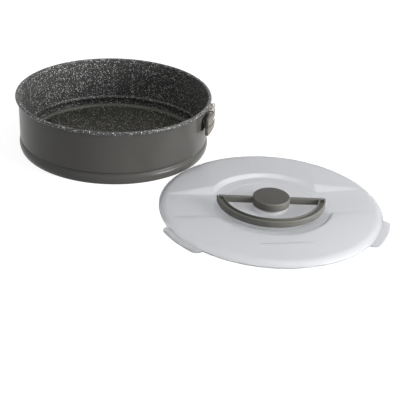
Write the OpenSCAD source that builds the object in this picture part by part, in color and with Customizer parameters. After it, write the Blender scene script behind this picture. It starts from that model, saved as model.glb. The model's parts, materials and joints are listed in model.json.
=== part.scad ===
// Springform cake tin with a carrying lid. The tin stands on its base with the latch closed.
// The lid has been taken off and lies flat beside the tin, with its handle folded down.
// Origin: the tin's axis on the surface that it stands on. +Z is up.

/* [Side band] */
// Inside radius of the tin
tin_r = 130; // [105:0.5:160]
// Height of the tin with its rolled rim
tin_h = 75.5; // [66:0.5:110]
// Thickness of the band's sheet steel
band_t = 0.6; // [0.5:0.05:0.8]
// Outer diameter of the rolled rim
rim_d = 4.8; // [4:0.1:6]
// Height of the middle of the pressed-in groove
groove_z = 14; // [13:0.1:20]
// Depth of the pressed-in groove
groove_depth = 1.7; // [1.2:0.1:2.2]
// Radius of the groove's arc
groove_arc = 3.6; // [3:0.1:5]
// How far the bead below the groove stands out
bead_out = 0.75; // [0.4:0.05:1.2]
// Outer diameter of the rolled lower edge
foot_d = 3; // [2.4:0.1:3.6]
// Width of the slit where a rolled edge ends
curl_slit = 0.5; // [0.3:0.1:0.8]
// Gap between the band's two ends behind the latch
band_gap = 0.6; // [0.3:0.1:1.5]

/* [Base plate] */
// Thickness of the base plate's sheet steel
plate_t = 0.8; // [0.5:0.1:1.2]
// Clearance between the flange's edge and the band's wall
plate_clear = 0.6; // [0.4:0.1:1]
// Width of the flange that rests on the rolled lower edge
flange_w = 3.6; // [3:0.1:5]
// Width of the step between the flange and the floor
step_w = 1.6; // [1:0.1:3]
// Gap between the flange and the rolled edge below it
plate_seat = 0.25; // [0.1:0.05:0.4]

/* [Latch] */
// Direction of the lever's pivot, seen from the tin's axis
latch_ang = -6; // [-60:0.5:60]
// Distance of the latch's middle below the top of the rim
latch_drop = 24; // [22:0.5:34]
// Height of the lever
lever_h = 24; // [20:0.5:28]
// Thickness of the lever's sheet steel
lever_t = 1; // [0.8:0.1:1.4]
// Length of the lever from its pivot to its turned-in free end
lever_len = 36; // [34:0.5:50]
// Distance of the lever's plate outside its pivot
lever_out = 3; // [2.8:0.1:4]
// Length of the lever's plate behind its pivot
lever_tail = 2.65; // [2:0.05:3.5]
// Gap between the lever's tail and its bracket as the lever swings out
swing_gap = 0.5; // [0.3:0.05:1]
// Depth of the lever's flanges and of its turned-in end
lip_depth = 4.3; // [3:0.1:5]
// Radius of the pivot pins
pin_r = 1.5; // [1.2:0.1:1.8]
// Radial clearance of a pin in a turning piece
pin_clear = 0.05; // [0.03:0.01:0.1]
// Metal round a pin's hole
eye_wall = 2.1; // [1.7:0.1:2.5]
// Distance from the lever's pivot to the link's pin, along the band
link_back = 12; // [11:0.1:14]
// How far the link's pin lies inside the lever's pivot when the latch is closed
link_in = 1.5; // [1:0.1:1.8]
// Distance from the lever's pivot to the catch pin, along the band
catch_ahead = 14; // [13:0.1:18]
// How far the catch pin lies inside the lever's pivot
catch_in = 1; // [0.5:0.1:1.4]
// Height of the link's bar
link_h = 4.4; // [3:0.1:6]
// Thickness of the link's bar
link_t = 2; // [1.6:0.1:2.4]
// Slack of the hook round the catch pin
hook_slack = 0.4; // [0.3:0.05:0.6]
// Clearance of the link in the lever's slot, above and below
slot_clear = 0.5; // [0.3:0.1:1]
// Thickness of the brackets' sheet steel
bracket_t = 1; // [0.8:0.1:1.4]
// Gap between neighbouring pieces of the latch
part_gap = 0.4; // [0.3:0.05:0.6]
// Gap between a bracket and the band
seat_gap = 0.1; // [0.05:0.05:0.3]
// Height of the part of the hinge bracket that is riveted to the band
tongue_h = 16; // [14:0.5:20]
// Length of the hinge bracket's ears from the pivot towards the lever's free end
ear_back = 7.4; // [5:0.1:9]
// Cut of the ears' outer corners
ear_cut = 1.2; // [0.6:0.1:2]
// Radius of a bracket rivet's shank
rivet_r = 1.4; // [1.1:0.1:1.7]
// Radius of a rivet's head
rivet_head = 2.5; // [2.2:0.1:3]
// Thickness of a rivet's head
rivet_head_t = 0.8; // [0.6:0.1:1.1]
// Distance between neighbouring rivets of a bracket
rivet_pitch = 7; // [6:0.5:9]
// Clearance of a rivet's shank in its holes
rivet_clear = 0.03; // [0.02:0.01:0.05]
// Width of the groove pressed along the lever
crease_w = 1.6; // [1:0.1:3]
// Depth of the groove pressed along the lever
crease_depth = 0.4; // [0.2:0.1:0.5]

/* [Lid] */
// Thickness of the lid's wall
lid_t = 1.6; // [1.2:0.1:2]
// Height of the lid round its recess, as it lies on its edge
lid_h = 8.6; // [8.4:0.1:10]
// Drop of the lid's top from the recess out to the shoulder
lid_fall = 1.9; // [0.5:0.1:2]
// Room between the tin's rim and the inside of the lid's skirt
lid_room = 4; // [2:0.1:6]
// Width of the rounded shoulder, seen from above
shoulder_w = 11.5; // [9:0.5:12]
// Radius of the shoulder's arc
shoulder_r = 14; // [13:0.5:18]
// Gap between the lid and the tin beside it
lid_gap = 1; // [0.5:0.5:30]
// Direction of the lid's middle, seen from the tin's axis
lid_ang = -37.9; // [-90:0.1:-30]
// Direction of the lid's two channels
lid_turn = 9.2; // [-20:0.1:30]
// Height of the recess's ledge
ledge_z = 3.4; // [3.2:0.1:4.5]
// Drop from the ledge to the recess's floor
ledge_drop = 0.8; // [0.4:0.1:1]
// Width of the ledge round the recess's floor
ledge_w = 13.5; // [8:0.5:16]
// Width of the recess's sloping wall
recess_slope = 5; // [3:0.5:8]
// Room between the handle's ends and the foot of the recess's wall
handle_room = 5.3; // [3:0.1:6]
// Distance from the lid's middle to the front side of a channel's floor
channel_front = 27; // [20:0.5:30]
// Distance from the lid's middle to the back side of a channel's floor
channel_back = 31; // [20:0.5:34]
// Width of a channel's front side for each millimetre of its depth
front_slope = 0.5; // [0.4:0.1:2.6]
// Width of a channel's back side for each millimetre of its depth
back_slope = 2.5; // [0.4:0.1:2.6]
// Distance between a channel's end and the lid's edge
channel_end = 6.5; // [5:0.5:12]
// Height of the raised boss under the hub
boss_z = 6.6; // [6.4:0.1:7.5]
// Radius of the boss's flat top
boss_r = 21; // [18:0.5:24]
// Width of the boss's sloping side
boss_slope = 1.5; // [1:0.1:3]
// Length of a lifting tab along the edge
tab_len = 66; // [40:1:80]
// How far a lifting tab stands out
tab_out = 9.5; // [6:0.5:14]
// Radius of a tab's corners
tab_corner = 8.5; // [3:0.5:9.5]
// Angle of the two tabs in front of the lid's channels
tab_turn = 31; // [20:0.5:40]
// Length of the fine rib on the lid's top
rib_len = 64; // [30:1:80]
// Width of the fine rib
rib_w = 1.2; // [0.8:0.1:2]
// Height of the fine rib
rib_h = 0.4; // [0.2:0.1:0.8]
// Distance of the fine rib from the lid's middle
rib_out = 97; // [92:1:106]
// Depth of the fine rib's root in the lid's wall
rib_sink = 1; // [0.8:0.1:1.2]

/* [Hub and handle] */
// Direction of the handle's bar
hub_turn = 2.2; // [-180:0.1:180]
// Radius of the hub
hub_r = 23.5; // [22:0.5:27]
// Height of the hub
hub_h = 9.8; // [9.4:0.1:12]
// Bevel of the hub's upper edge
hub_bevel = 1.2; // [0.6:0.1:2]
// Radius of the hub's stem
stem_r = 6; // [5:0.5:8]
// Clearance of the stem in the lid's hole
stem_clear = 0.08; // [0.05:0.01:0.1]
// Running gap of the hub above the lid and of the washer below it
run_gap = 0.3; // [0.2:0.05:0.4]
// Radius of the washer
washer_r = 10; // [8.5:0.5:12]
// Thickness of the washer
washer_t = 1.4; // [1:0.1:1.5]
// Radius of the screw's head
screw_head_r = 3.6; // [3:0.1:4.5]
// Thickness of the screw's head
screw_head_t = 1.4; // [1:0.1:1.5]
// Radius of the screw's shank
screw_r = 1.75; // [1.5:0.05:2]
// Length of the screw below its head
screw_len = 9; // [7:0.5:10]
// Outer radius of the handle's arc
handle_r = 68.8; // [60:0.1:75]
// Distance from the handle's bar back to the middle of its arc
handle_back = 7; // [3:0.5:12]
// Width of the handle's arc
handle_w = 8.8; // [7:0.1:11]
// Height of the handle
handle_h = 8.6; // [7.6:0.1:9]
// Thickness of the handle's bar
bar_t = 4; // [3.4:0.1:5]
// Gap between the bar's ends and the hub
bar_gap = 0.4; // [0.3:0.1:0.8]
// Height of the handle's pivot above the hub's underside
pivot_z = 4.1; // [4:0.1:4.6]
// Radius of the handle's pivot pegs
peg_r = 2; // [1.6:0.1:2.4]
// Length of the handle's pivot pegs
peg_len = 6.5; // [4:0.5:9]
// Radial clearance of the pegs in the hub
peg_clear = 0.06; // [0.04:0.01:0.1]
// Width of the groove along the handle's arc
handle_groove_w = 4.6; // [2:0.1:5.2]
// Depth of the groove along the handle's arc
handle_groove_d = 1.6; // [0.4:0.1:2.4]
// Width of the lip between the groove and the arc's inner edge
handle_lip = 1.7; // [1.2:0.1:2.4]

/* [Hidden] */
$fn = 128;
e = 0.01;
far = 400;

// Band: outer face, heights of its rolled edges and the arcs between them
band_r = tin_r + band_t;
rim_r = tin_r + rim_d;
rim_z = tin_h - rim_d / 2;
foot_z = foot_d / 2;
groove_r = tin_r + band_t / 2 + groove_arc - groove_depth;
groove_half = sqrt(pow(groove_arc, 2) - pow(groove_arc - groove_depth, 2));
groove_top = groove_z + sqrt(pow(groove_arc - band_t / 2, 2) - pow(groove_r - band_r, 2));
bead_top = groove_z - groove_half;
bead_half = (bead_top - foot_z) / 2;
bead_arc = (pow(bead_half, 2) + pow(bead_out, 2)) / (2 * bead_out);
bead_r = band_r + bead_out;

// Base plate: the flange rests on the rolled lower edge, inside the bead
flange_r = band_r - plate_clear;
flange_z = foot_d + plate_seat;
floor_r = flange_r - flange_w - step_w;

// Latch: pins are placed by their distance along and out from the lever's pivot
latch_z = tin_h - latch_drop;
tail_reach = norm([lever_tail, lever_out + lever_t]);
pivot_r = band_r + seat_gap + bracket_t + swing_gap + tail_reach;
pivot = [pivot_r * cos(latch_ang), pivot_r * sin(latch_ang)];
eye_r = pin_r + eye_wall;
plate_r = pivot_r + lever_out;
bracket_in = band_r + seat_gap;
bracket_out = bracket_in + bracket_t;
lever_z = latch_z - lever_h / 2;
lever_top = latch_z + lever_h / 2;
slot_h = link_h + 2 * slot_clear;
ear_z = lever_top + part_gap;
hook_r = pin_r + hook_slack;
split_ang = latch_ang + catch_ahead / 2 / band_r * 180 / PI;
free_ang = latch_ang - lever_len / plate_r * 180 / PI;
ear_ahead = (catch_ahead - band_gap) / 2 - 2 * part_gap;
tongue_ang = latch_ang - (link_back + eye_r + 2 * rivet_pitch) / band_r * 180 / PI;

// Lid: the skirt goes round the tin's rim
lid_r = rim_r + lid_room + lid_t;
lid_dist = bead_r + lid_gap + lid_r;
lid_x = lid_dist * cos(lid_ang);
lid_y = lid_dist * sin(lid_ang);
handle_half = sqrt(pow(handle_r, 2) - pow(handle_back - bar_t / 2, 2));
recess_foot = handle_half + handle_room;
recess_r = recess_foot + recess_slope;
floor_z = ledge_z - ledge_drop;
shoulder_z = lid_h - lid_fall;
channel_rise = atan((shoulder_z - ledge_z) / (lid_r - channel_end - recess_foot));

// Hub and handle
hub_z = boss_z + run_gap;
washer_top = boss_z - lid_t - run_gap;
axis_z = hub_z + pivot_z;

function polar(r, a) = [r * cos(a), r * sin(a)];
// A point near the lever's pivot: along the band (away from the lever's free end) and out from it
function from_pivot(along, out) = [
    pivot[0] - along * sin(latch_ang) + out * cos(latch_ang),
    pivot[1] + along * cos(latch_ang) + out * sin(latch_ang)];
link_at = from_pivot(-link_back, -link_in);
catch_at = from_pivot(catch_ahead, -catch_in);
link_turn = atan2(catch_at[1] - link_at[1], catch_at[0] - link_at[0]);
link_len = norm(catch_at - link_at);
// How far the underside of a sloping wall lies to the side, one wall thickness lower
function under(slope) = lid_t * (sqrt(1 + slope * slope) - slope);

// A pie slice between two angles
module slice(a, b, r = far) {
    polygon([[0, 0], polar(r, a), polar(r, (a + b) / 2), polar(r, b)]);
}

// Part of a ring between two radii and two angles
module arc_strip(r_in, r_out, a, b) {
    intersection() {
        difference() {
            circle(r = r_out);
            circle(r = r_in);
        }
        slice(a, b);
    }
}

// A curved plate that follows the band between two angles
module curved_plate(r_in, t, z, h, a, b) {
    translate([0, 0, z])
        linear_extrude(h)
            arc_strip(r_in, r_in + t, a, b);
}

// Section of sheet steel bent to an arc
module bent(r, t) {
    difference() {
        circle(r = r + t / 2);
        circle(r = r - t / 2);
    }
}

module band_profile() {
    translate([tin_r, groove_top])
        square([band_t, rim_z - groove_top]);
    // Rolled rim
    difference() {
        translate([tin_r + rim_d / 2, rim_z])
            bent((rim_d - band_t) / 2, band_t);
        translate([band_r, rim_z - rim_d])
            square([curl_slit, rim_d - band_t]);
    }
    // Groove, pressed in
    intersection() {
        translate([groove_r, groove_z])
            bent(groove_arc, band_t);
        translate([0, bead_top - band_t])
            square([band_r, 2 * groove_half + 2 * band_t]);
    }
    // Bead, pressed out
    intersection() {
        translate([tin_r + band_t / 2 + bead_out - bead_arc, foot_z + bead_half])
            bent(bead_arc, band_t);
        translate([tin_r - band_t, foot_z])
            square([bead_out + 3 * band_t, 2 * bead_half]);
    }
    // Rolled lower edge
    difference() {
        translate([band_r - foot_d / 2, foot_z])
            bent((foot_d - band_t) / 2, band_t);
        translate([tin_r - curl_slit, foot_z + band_t])
            square([curl_slit, foot_d]);
    }
}

module side_band() {
    gap = band_gap / band_r * 180 / PI;
    color([0.27, 0.26, 0.25])
        difference() {
            rotate([0, 0, split_ang + gap / 2])
                rotate_extrude(angle = 360 - gap)
                    band_profile();
            bracket_holes();
        }
}

module base_plate() {
    color([0.24, 0.24, 0.24])
        rotate_extrude()
            polygon([[0, 0], [floor_r, 0], [floor_r + step_w, flange_z], [flange_r, flange_z],
                [flange_r, flange_z + plate_t], [floor_r + step_w - plate_t / 2, flange_z + plate_t],
                [floor_r - plate_t / 2, plate_t], [0, plate_t]]);
}

// Directions of the rivets that hold the brackets
hinge_rivets = [for (i = [0, 1]) latch_ang - (link_back + eye_r + (0.5 + i) * rivet_pitch) / band_r * 180 / PI];
catch_rivet = latch_ang + (catch_ahead + eye_r + rivet_pitch / 2) / band_r * 180 / PI;
catch_end = latch_ang + (catch_ahead + eye_r + rivet_pitch) / band_r * 180 / PI;

// A hole or shank through bracket and band, square to the band
module radial(r_from, r_to, z, a, r) {
    rotate([0, 0, a])
        translate([r_from, 0, z])
            rotate([0, 90, 0])
                cylinder(h = r_to - r_from, r = r);
}

module bracket_holes() {
    hole = rivet_r + rivet_clear;
    for (a = hinge_rivets)
        radial(tin_r - 2, bracket_out + 2, latch_z, a, hole);
    for (s = [-1, 1])
        radial(tin_r - 2, bracket_out + 2, latch_z + s * rivet_pitch / 2, catch_rivet, hole);
}

// One rivet with a head inside the tin and a head on the bracket
module bracket_rivet(z, a) {
    radial(tin_r - seat_gap - rivet_head_t, bracket_out + seat_gap + rivet_head_t, z, a, rivet_r);
    radial(tin_r - seat_gap - rivet_head_t, tin_r - seat_gap, z, a, rivet_head);
    radial(bracket_out + seat_gap, bracket_out + seat_gap + rivet_head_t, z, a, rivet_head);
}

module hinge_bracket_rivets() {
    color([0.62, 0.61, 0.59])
        for (a = hinge_rivets)
            bracket_rivet(latch_z, a);
}

module catch_bracket_rivets() {
    color([0.62, 0.61, 0.59])
        for (s = [-1, 1])
            bracket_rivet(latch_z + s * rivet_pitch / 2, catch_rivet);
}

// Outline of a bracket's ear: a lug with cut corners, from back to ahead of its pin along the band
module ear(at, back, ahead) {
    a = atan2(at[1], at[0]);
    root = bracket_in + bracket_t / 2;
    tip = norm(at) + eye_r;
    a0 = a - back / root * 180 / PI;
    a1 = a + ahead / root * 180 / PI;
    cut = ear_cut / tip * 180 / PI;
    difference() {
        polygon([polar(root, a0), polar(tip - ear_cut, a0), polar(tip, a0 + cut), polar(tip, a),
            polar(tip, a1 - cut), polar(tip - ear_cut, a1), polar(root, a1), polar(root, a)]);
        translate(at)
            circle(r = pin_r + rivet_clear);
    }
}

// A bracket's two ears and the tall plate between them
module ears(at, back, ahead) {
    a = atan2(at[1], at[0]);
    low = 2 * latch_z - ear_z - bracket_t;
    curved_plate(bracket_in, bracket_t, low, ear_z + bracket_t - low,
        a - (back + seat_gap) / bracket_in * 180 / PI, a + (ahead + seat_gap) / bracket_in * 180 / PI);
    for (z = [ear_z, low])
        translate([0, 0, z])
            linear_extrude(bracket_t)
                ear(at, back, ahead);
}

module hinge_bracket() {
    color([0.68, 0.66, 0.63])
        difference() {
            union() {
                curved_plate(bracket_in, bracket_t, latch_z - tongue_h / 2, tongue_h, tongue_ang, latch_ang);
                ears(pivot, ear_back, ear_ahead);
            }
            bracket_holes();
        }
}

module lever_pivots() {
    head = pin_r + 1;
    color([0.62, 0.61, 0.59])
        for (s = [-1, 1])
            translate([pivot[0], pivot[1], latch_z])
                rotate([s > 0 ? 0 : 180, 0, 0]) {
                    translate([0, 0, lever_h / 2 - lever_t - part_gap - rivet_head_t])
                        cylinder(h = rivet_head_t, r = head);
                    translate([0, 0, lever_h / 2 - lever_t - part_gap - e])
                        cylinder(h = lever_t + 2 * part_gap + bracket_t + seat_gap + 2 * e, r = pin_r);
                    translate([0, 0, lever_h / 2 + part_gap + bracket_t + seat_gap])
                        cylinder(h = rivet_head_t, r = head);
                }
}

// Outline of the lever's upper and lower flange, from its tail past both of its pins to its free end
module lever_flange() {
    a = atan2(link_at[1], link_at[0]);
    out = plate_r + lever_t / 2;
    difference() {
        union() {
            translate(pivot)
                circle(r = eye_r);
            translate(link_at)
                circle(r = eye_r);
            intersection() {
                circle(r = out);
                polygon([pivot + polar(eye_r, latch_ang + 90), pivot + polar(eye_r, latch_ang + 180),
                    link_at + polar(eye_r, a + 180), polar(plate_r + lever_t - lip_depth, free_ang),
                    polar(out + 2, free_ang), polar(out + 2, a), polar(out + 2, latch_ang),
                    polar(out, latch_ang + lever_tail / out * 180 / PI)]);
            }
        }
        translate(pivot)
            circle(r = pin_r + pin_clear);
        translate(link_at)
            circle(r = pin_r + rivet_clear);
    }
}

module lever() {
    tail = latch_ang + lever_tail / plate_r * 180 / PI;
    slot_end = link_back + lever_out + link_in + link_t + eye_r;
    color([0.72, 0.70, 0.67])
        difference() {
            union() {
                curved_plate(plate_r, lever_t, lever_z, lever_h, free_ang, tail);
                // Turned-in end
                curved_plate(plate_r + lever_t - lip_depth, lip_depth - lever_t / 2, lever_z, lever_h,
                    free_ang, free_ang + lever_t / plate_r * 180 / PI);
                for (z = [lever_z, lever_top - lever_t])
                    translate([0, 0, z])
                        linear_extrude(lever_t)
                            lever_flange();
            }
            // Slot that the link passes through as the lever opens
            curved_plate(plate_r - 1, lever_t + 2, latch_z - slot_h / 2, slot_h,
                latch_ang - slot_end / plate_r * 180 / PI, tail + 1);
            // Groove pressed along the rest of the lever
            curved_plate(plate_r + lever_t - crease_depth, 1, latch_z - crease_w / 2, crease_w,
                free_ang - 1, latch_ang - (slot_end + 2) / plate_r * 180 / PI);
        }
}

module link_pin() {
    head = pin_r + 1;
    color([0.62, 0.61, 0.59])
        translate([link_at[0], link_at[1], latch_z]) {
            cylinder(h = lever_h + 2 * seat_gap + 2 * e, r = pin_r, center = true);
            for (s = [-1, 1])
                translate([0, 0, s * (lever_h / 2 + seat_gap + (part_gap - 2 * seat_gap) / 2)])
                    cylinder(h = part_gap - 2 * seat_gap, r = head, center = true);
        }
}

// The link lies along +X here, with its eye at the origin and its hook at the far end
module link() {
    side = hook_r + link_t;
    color([0.66, 0.65, 0.62])
        translate([link_at[0], link_at[1], latch_z - link_h / 2])
            rotate([0, 0, link_turn])
                linear_extrude(link_h)
                    difference() {
                        union() {
                            circle(r = eye_r);
                            translate([0, -side])
                                square([link_len, link_t]);
                            translate([link_len, 0])
                                arc_strip(hook_r, side, -90 - e, 15);
                        }
                        circle(r = pin_r + pin_clear);
                    }
}

module catch_bracket() {
    a = atan2(catch_at[1], catch_at[0]);
    color([0.68, 0.66, 0.63])
        difference() {
            union() {
                curved_plate(bracket_in, bracket_t, latch_z - tongue_h / 2, tongue_h, a, catch_end);
                ears(catch_at, ear_ahead, eye_r + bracket_t);
            }
            bracket_holes();
        }
}

module catch_pin() {
    half = ear_z - latch_z + bracket_t + seat_gap;
    head = pin_r + 1;
    color([0.62, 0.61, 0.59])
        translate([catch_at[0], catch_at[1], latch_z]) {
            cylinder(h = 2 * half + 2 * e, r = pin_r, center = true);
            for (s = [-1, 1])
                translate([0, 0, s * (half + rivet_head_t / 2)])
                    cylinder(h = rivet_head_t, r = head, center = true);
        }
}

module place_lid() {
    translate([lid_x, lid_y, 0])
        children();
}

// Filled section of the lid, sunk by d below its outer face
module lid_section(d) {
    top_r = lid_r - shoulder_w;
    polygon([[0, 0], [top_r, 0], [top_r, shoulder_z - d], [recess_r, lid_h - d], [0, lid_h - d]]);
    intersection() {
        translate([top_r, shoulder_z - shoulder_r])
            circle(r = shoulder_r - d);
        translate([top_r - e, 0])
            square([shoulder_w + e - d, lid_h]);
    }
}

// What the recess takes out of the lid's section: the space above its floor, or above its underside (d = 1)
module recess_section(d) {
    wall = recess_slope / (lid_h - ledge_z);
    step = 1;
    boss = boss_slope / (boss_z - floor_z);
    drop = d * lid_t;
    polygon([[0, boss_z - drop], [boss_r - d * under(boss), boss_z - drop],
        [boss_r + boss_slope - d * under(boss), floor_z - drop],
        [recess_foot - ledge_w + d * under(step), floor_z - drop],
        [recess_foot - ledge_w + step * ledge_drop + d * under(step), ledge_z - drop],
        [recess_foot + d * under(wall), ledge_z - drop],
        [recess_r + wall * (drop + 1) + d * under(wall), lid_h + 1],
        [0, lid_h + 1]]);
}

// The space of the right channel: a prism with sloping sides that climbs from the ledge to the lid's edge
module channel(d) {
    drop = d * lid_t;
    front = channel_front + d * under(front_slope);
    back = channel_back + d * under(back_slope);
    tall = 12;
    intersection() {
        translate([recess_foot, 0, ledge_z - drop])
            rotate([0, -channel_rise, 0])
                translate([-recess_foot * 0.6, 0, 0])
                    rotate([90, 0, 90])
                        linear_extrude(lid_r * 0.95)
                            polygon([[-front, 0], [back, 0], [back + tall * back_slope, tall],
                                [-front - tall * front_slope, tall]]);
        translate([0, -lid_r, ledge_z - drop])
            cube([lid_r * 1.2, 2 * lid_r, 2 * lid_h]);
    }
}

// The solid below the lid's outer face, or below its inner face (d = 1)
module lid_body(d) {
    difference() {
        rotate_extrude()
            difference() {
                lid_section(d * lid_t);
                recess_section(d);
            }
        for (s = [0, 1])
            mirror([s, 0, 0])
                channel(d);
    }
}

// One lifting tab, centred on +X
module tab() {
    half = tab_len / 2 / lid_r * 180 / PI;
    turn = tab_corner / (lid_r + tab_out - tab_corner) * 180 / PI;
    linear_extrude(lid_t) {
        arc_strip(lid_r - lid_t / 2, lid_r + tab_out - tab_corner, -half, half);
        arc_strip(lid_r - lid_t / 2, lid_r + tab_out, turn - half, half - turn);
        for (s = [-1, 1])
            translate(polar(lid_r + tab_out - tab_corner, s * (half - turn)))
                circle(r = tab_corner);
    }
}

// Fine rib across the front of the lid's top, which falls away under it
module rib() {
    lift = lid_h - lid_fall * (rib_out - recess_r) / (lid_r - shoulder_w - recess_r);
    translate([-rib_len / 2, -rib_out - rib_w / 2, lift - rib_sink])
        cube([rib_len, rib_w, rib_sink + rib_h]);
}

module lid_shell() {
    color([0.84, 0.84, 0.85])
        place_lid()
            rotate([0, 0, lid_turn]) {
                difference() {
                    lid_body(0);
                    translate([0, 0, -e])
                        lid_body(1);
                    cylinder(h = lid_h, r = stem_r + stem_clear);
                }
                for (s = [0, 1])
                    mirror([s, 0, 0])
                        rotate([0, 0, -tab_turn])
                            tab();
                rib();
            }
}

module hub() {
    color([0.35, 0.34, 0.32])
        place_lid()
            rotate([0, 0, hub_turn])
                difference() {
                    rotate_extrude()
                        polygon([[0, washer_top], [stem_r, washer_top], [stem_r, hub_z], [hub_r, hub_z],
                            [hub_r, hub_z + hub_h - hub_bevel], [hub_r - hub_bevel, hub_z + hub_h],
                            [0, hub_z + hub_h]]);
                    for (a = [0, 180])
                        rotate([0, 0, a])
                            translate([hub_r - peg_len, 0, axis_z])
                                rotate([0, 90, 0])
                                    cylinder(h = peg_len + 1, r = peg_r + peg_clear);
                    translate([0, 0, washer_top - e])
                        cylinder(h = screw_len - washer_t + part_gap, r = screw_r + rivet_clear);
                }
}

module hub_washer() {
    color([0.70, 0.70, 0.70])
        place_lid()
            translate([0, 0, washer_top - washer_t])
                difference() {
                    cylinder(h = washer_t - rivet_clear, r = washer_r);
                    translate([0, 0, -e])
                        cylinder(h = washer_t + 2 * e, r = screw_r + rivet_clear);
                }
}

module hub_screw() {
    color([0.66, 0.66, 0.66])
        place_lid()
            translate([0, 0, washer_top - washer_t - rivet_clear])
                difference() {
                    union() {
                        translate([0, 0, -screw_head_t])
                            cylinder(h = screw_head_t, r = screw_head_r);
                        translate([0, 0, -e])
                            cylinder(h = screw_len + e, r = screw_r);
                    }
                    // Cross recess
                    for (a = [0, 90])
                        rotate([0, 0, a])
                            translate([0, 0, -screw_head_t])
                                cube([screw_head_r * 1.1, 0.8, screw_head_t], center = true);
                }
}

// Plan of the handle: an arc in front of the bar and the bar's two halves beside the hub
module handle_plan() {
    intersection() {
        translate([0, handle_back])
            difference() {
                circle(r = handle_r);
                circle(r = handle_r - handle_w);
            }
        translate([-far, bar_t / 2 - far])
            square([2 * far, far]);
    }
    for (s = [0, 180])
        rotate([0, 0, s])
            translate([hub_r + bar_gap, -bar_t / 2])
                square([handle_half - handle_w / 2 - hub_r - bar_gap, bar_t]);
}

module handle() {
    inner = handle_r - handle_w + handle_lip;
    color([0.35, 0.34, 0.32])
        place_lid()
            translate([0, 0, axis_z])
                rotate([0, 0, hub_turn]) {
                    difference() {
                        translate([0, 0, -handle_h / 2])
                            linear_extrude(handle_h)
                                handle_plan();
                        for (s = [-1, 1])
                            translate([0, 0, s * handle_h / 2])
                                intersection() {
                                    translate([0, handle_back, 0])
                                        difference() {
                                            cylinder(h = 2 * handle_groove_d, r = inner + handle_groove_w,
                                                center = true);
                                            cylinder(h = 4 * handle_groove_d, r = inner, center = true);
                                        }
                                    translate([-far, -far - bar_t / 2, -handle_h])
                                        cube([2 * far, far, 2 * handle_h]);
                                }
                    }
                    for (a = [0, 180])
                        rotate([0, 0, a])
                            translate([hub_r + bar_gap - peg_len, 0, 0])
                                rotate([0, 90, 0])
                                    cylinder(h = peg_len + e, r = peg_r);
                }
}

side_band();
base_plate();
hinge_bracket();
hinge_bracket_rivets();
lever_pivots();
lever();
link_pin();
link();
catch_bracket();
catch_bracket_rivets();
catch_pin();
lid_shell();
hub();
hub_washer();
hub_screw();
handle();
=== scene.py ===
# A springform cake tin with a toggle latch, and its carrying lid lying beside it
import json
import math

import bmesh
import bpy
import numpy as np
from mathutils import Matrix, Vector


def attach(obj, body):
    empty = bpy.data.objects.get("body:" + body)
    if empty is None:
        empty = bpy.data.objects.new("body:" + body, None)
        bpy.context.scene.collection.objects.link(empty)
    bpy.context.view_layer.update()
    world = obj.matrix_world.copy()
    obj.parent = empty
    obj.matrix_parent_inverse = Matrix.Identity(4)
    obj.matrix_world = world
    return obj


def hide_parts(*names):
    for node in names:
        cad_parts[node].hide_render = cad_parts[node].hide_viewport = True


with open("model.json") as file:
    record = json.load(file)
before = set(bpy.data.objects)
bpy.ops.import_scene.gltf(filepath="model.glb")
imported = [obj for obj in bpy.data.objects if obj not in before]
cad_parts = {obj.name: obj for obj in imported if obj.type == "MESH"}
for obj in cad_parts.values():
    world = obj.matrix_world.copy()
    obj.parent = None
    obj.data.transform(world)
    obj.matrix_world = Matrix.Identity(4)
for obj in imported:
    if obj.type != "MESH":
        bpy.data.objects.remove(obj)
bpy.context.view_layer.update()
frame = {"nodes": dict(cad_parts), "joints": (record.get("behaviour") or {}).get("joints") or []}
joints = {joint["name"]: joint for joint in frame["joints"]}
mm = 0.001
tiny = 1e-9   # taken as nothing
print("frame loaded,", len(frame["nodes"]), "CAD nodes")


# Small helpers

def setInputs(node, values):
    for socket, value in values.items():
        node.inputs[socket].default_value = value


def linkInputs(tree, node, links):
    # A source is an output, or a node whose first output is meant
    for socket, source in links.items():
        output = source if isinstance(source, bpy.types.NodeSocket) else source.outputs[0]
        tree.links.new(output, node.inputs[socket])


def addNode(tree, kind, values=None, links=None, **settings):
    node = tree.nodes.new(kind)
    for key, value in settings.items():
        setattr(node, key, value)
    setInputs(node, values or {})
    linkInputs(tree, node, links or {})
    return node


def linearColour(hexText):
    channels = [int(hexText[i:i + 2], 16) / 255 for i in (1, 3, 5)]
    return [c / 12.92 if c <= 0.04045 else ((c + 0.055) / 1.055) ** 2.4 for c in channels] + [1.0]


def newObject(name, data):
    made = bpy.data.objects.new(name, data)
    bpy.context.scene.collection.objects.link(made)
    return made


def newPiece(name, verts, faces=(), edges=()):
    mesh = bpy.data.meshes.new(name)
    mesh.from_pydata([tuple(v) for v in verts], list(edges), list(faces))
    return newObject(name, mesh)


def smoothShade(piece, sharpAngle):
    piece.data.polygons.foreach_set("use_smooth", [True] * len(piece.data.polygons))
    piece.data.set_sharp_from_angle(angle=math.radians(sharpAngle))


def faceOutwards(piece):
    shell = bmesh.new()
    shell.from_mesh(piece.data)
    bmesh.ops.recalc_face_normals(shell, faces=shell.faces)
    shell.to_mesh(piece.data)
    shell.free()


def closedPiece(name, verts, faces):
    piece = newPiece(name, verts, faces)
    faceOutwards(piece)
    return piece


def dress(piece, *materials):
    piece.data.materials.clear()
    for material in materials:
        piece.data.materials.append(material)


def bakeModifiers(piece):
    # The evaluated result becomes the piece's own plain mesh
    graph = bpy.context.evaluated_depsgraph_get()
    mesh = bpy.data.meshes.new_from_object(piece.evaluated_get(graph))
    piece.modifiers.clear()
    piece.data = mesh


def runTree(piece, tree, values):
    # A modifier's inputs are set by the sockets' identifiers
    modifier = piece.modifiers.new(tree.name, "NODES")
    modifier.node_group = tree
    sockets = {item.name: item.identifier for item in tree.interface.items_tree if item.in_out == "INPUT"}
    for name, value in values.items():
        modifier[sockets[name]] = value
    bakeModifiers(piece)


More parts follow.
